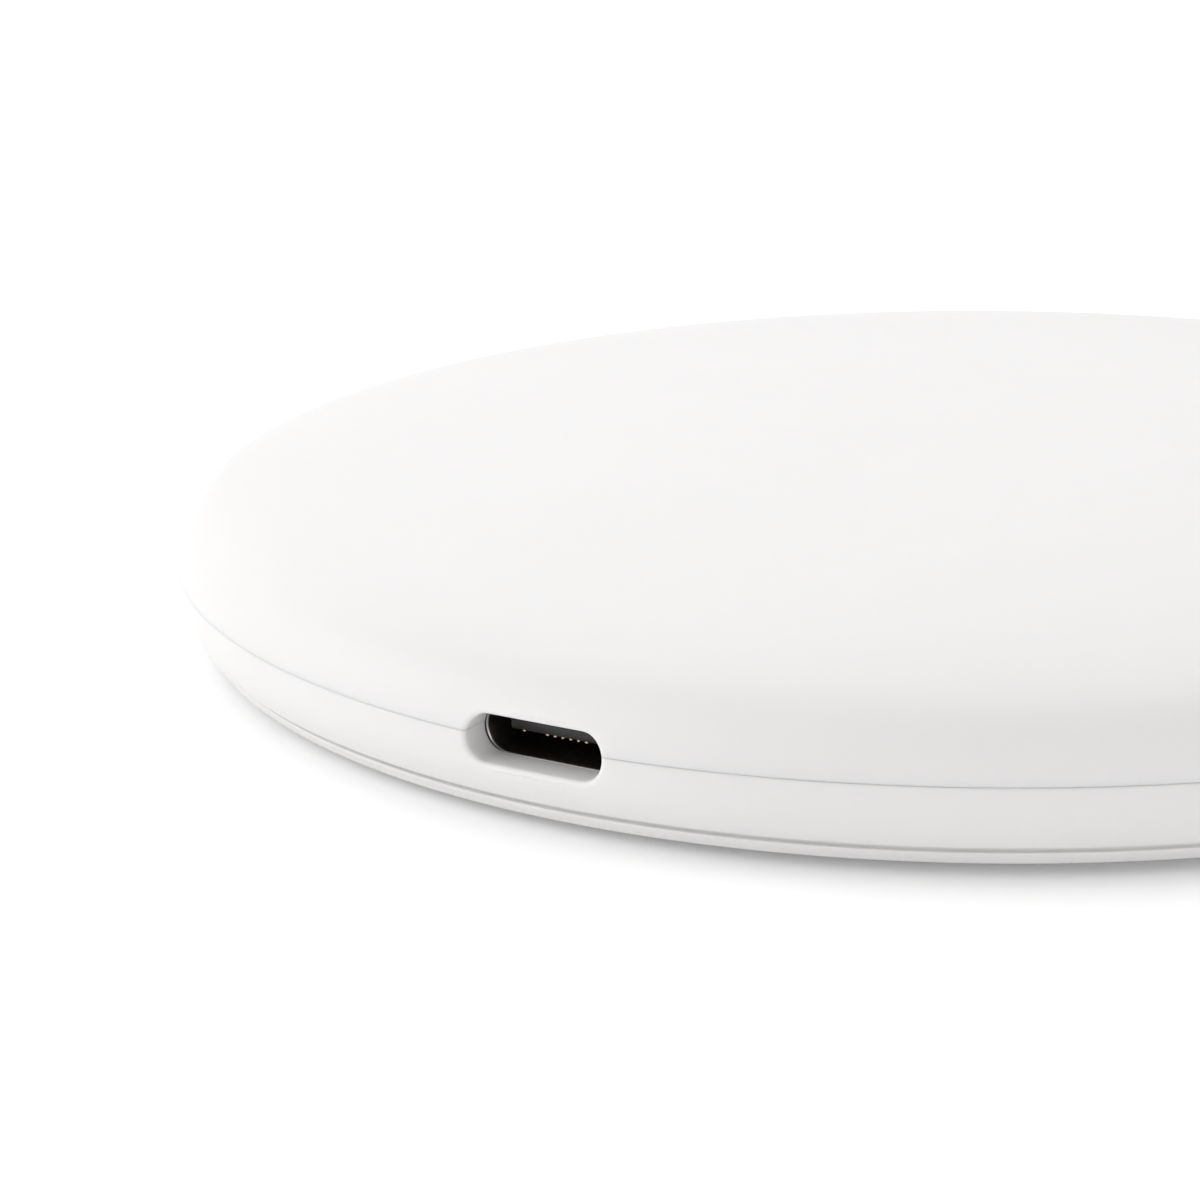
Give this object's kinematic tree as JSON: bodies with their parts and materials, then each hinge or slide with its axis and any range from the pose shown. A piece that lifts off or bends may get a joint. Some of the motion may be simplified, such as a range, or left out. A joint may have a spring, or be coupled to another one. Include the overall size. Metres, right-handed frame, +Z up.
{
  "type": "wireless charging pad",
  "caption": "Round white wireless charging pad with a softly domed top, a seam round its side, an inset base and a USB-C socket in its edge.",
  "frame": {"origin": "on the surface that the pad stands on, under the middle of the pad", "axes": "+Z up, out of the charging surface; -Y out of the USB-C socket; +X to the right seen from the socket's side"},
  "size_m": [0.104, 0.1039, 0.0119],
  "materials": {
    "white_moulding": "fine matt soft-touch texture",
    "silicone_foot": "matt",
    "tape": "matt double-sided tape",
    "steel_screw": "satin",
    "grey_moulding": "satin",
    "ferrite": "matt, faintly grained",
    "copper_wire": "enamelled stranded copper",
    "sleeve": "satin",
    "black_resin": "moulded, matt",
    "socket_metal": "nickel-plated, satin",
    "socket_plastic": "satin",
    "gold_contact": "gold-plated, polished",
    "board": "solder-resist over copper",
    "ceramic": "satin, tinned ends",
    "tantalum": "satin resin",
    "inductor": "pressed powder, matt",
    "crystal_can": "satin lid",
    "solder": "bright solder"
  },
  "bodies": {
    "root": {"upper_shell": "white_moulding", "lower_shell": "white_moulding", "base_plate": "white_moulding", "foot_ring": "silicone_foot", "base_adhesive": "tape", "ferrite_adhesive": "tape", "coil_adhesive": "tape", "shell_screw_1": "steel_screw", "shell_screw_2": "steel_screw", "shell_screw_3": "steel_screw", "shell_screw_4": "steel_screw", "tray_screw_1": "steel_screw", "tray_screw_2": "steel_screw", "tray_screw_3": "steel_screw", "board_screw_1": "steel_screw", "board_screw_2": "steel_screw", "board_screw_3": "steel_screw", "board_screw_4": "steel_screw", "coil_tray": "grey_moulding", "ferrite_plate": "ferrite", "coil_winding": "copper_wire", "coil_lead_sleeve_1": "sleeve", "coil_lead_sleeve_2": "sleeve", "thermistor": "black_resin", "controller_chip": "black_resin", "power_bridge_chip_1": "black_resin", "power_bridge_chip_2": "black_resin", "current_sense_resistor": "black_resin", "usb_shell": "socket_metal", "usb_insulator": "socket_plastic", "usb_contact_upper_1": "gold_contact", "usb_contact_upper_2": "gold_contact", "usb_contact_upper_3": "gold_contact", "usb_contact_upper_4": "gold_contact", "usb_contact_upper_5": "gold_contact", "usb_contact_upper_6": "gold_contact", "usb_contact_upper_7": "gold_contact", "usb_contact_upper_8": "gold_contact", "usb_contact_lower_1": "gold_contact", "usb_contact_lower_2": "gold_contact", "usb_contact_lower_3": "gold_contact", "usb_contact_lower_4": "gold_contact", "usb_contact_lower_5": "gold_contact", "usb_contact_lower_6": "gold_contact", "usb_contact_lower_7": "gold_contact", "usb_contact_lower_8": "gold_contact", "circuit_board": "board", "resonance_capacitor_1": "ceramic", "resonance_capacitor_2": "ceramic", "resonance_capacitor_3": "ceramic", "resonance_capacitor_4": "ceramic", "input_capacitor_1": "ceramic", "input_capacitor_2": "ceramic", "input_capacitor_3": "ceramic", "bulk_capacitor": "tantalum", "power_inductor": "inductor", "crystal": "crystal_can", "coil_solder_joint_1": "solder", "coil_solder_joint_2": "solder"}
  },
  "joints": []
}
